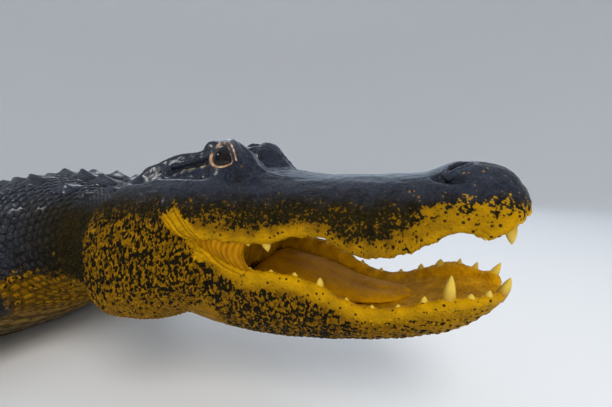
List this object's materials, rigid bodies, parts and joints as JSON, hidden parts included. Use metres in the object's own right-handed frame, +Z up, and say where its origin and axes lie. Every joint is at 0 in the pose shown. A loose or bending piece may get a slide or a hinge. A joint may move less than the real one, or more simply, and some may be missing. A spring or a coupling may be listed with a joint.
{
  "type": "american alligator model",
  "caption": "Life-size American alligator lying on its belly, head raised and mouth a little open, legs spread and tail swept to one side.",
  "frame": {"origin": "centre of the belly's flat on the floor, halfway between the shoulders and the hips", "axes": "+X towards the head, +Y to the animal's left, +Z up"},
  "size_m": [2.7257, 1.1987, 0.3194],
  "materials": {
    "hide": "wet slate-black hide with keeled scutes",
    "jaw_hide": "ochre granular hide with black flecks",
    "limb_hide": "dark scaled hide, paler beneath",
    "mouth_flesh": "moist orange flesh",
    "eye": "wet, near black",
    "tooth": "stained ivory",
    "claw": "dark horn"
  },
  "bodies": {
    "root": {"head": "hide", "ear_left": "hide", "ear_right": "hide", "eye_left": "eye", "eye_right": "eye", "lower_jaw": "jaw_hide", "throat": "jaw_hide", "tongue": "mouth_flesh", "neck": "hide", "torso": "hide", "tail_1": "hide", "tail_2": "hide", "tail_3": "hide", "tail_4": "hide", "foreleg_upper_left": "limb_hide", "foreleg_lower_left": "limb_hide", "forefoot_left": "limb_hide", "hindleg_upper_left": "limb_hide", "hindleg_lower_left": "limb_hide", "hindfoot_left": "limb_hide", "foreleg_upper_right": "limb_hide", "foreleg_lower_right": "limb_hide", "forefoot_right": "limb_hide", "hindleg_upper_right": "limb_hide", "hindleg_lower_right": "limb_hide", "hindfoot_right": "limb_hide"}
  },
  "joints": []
}
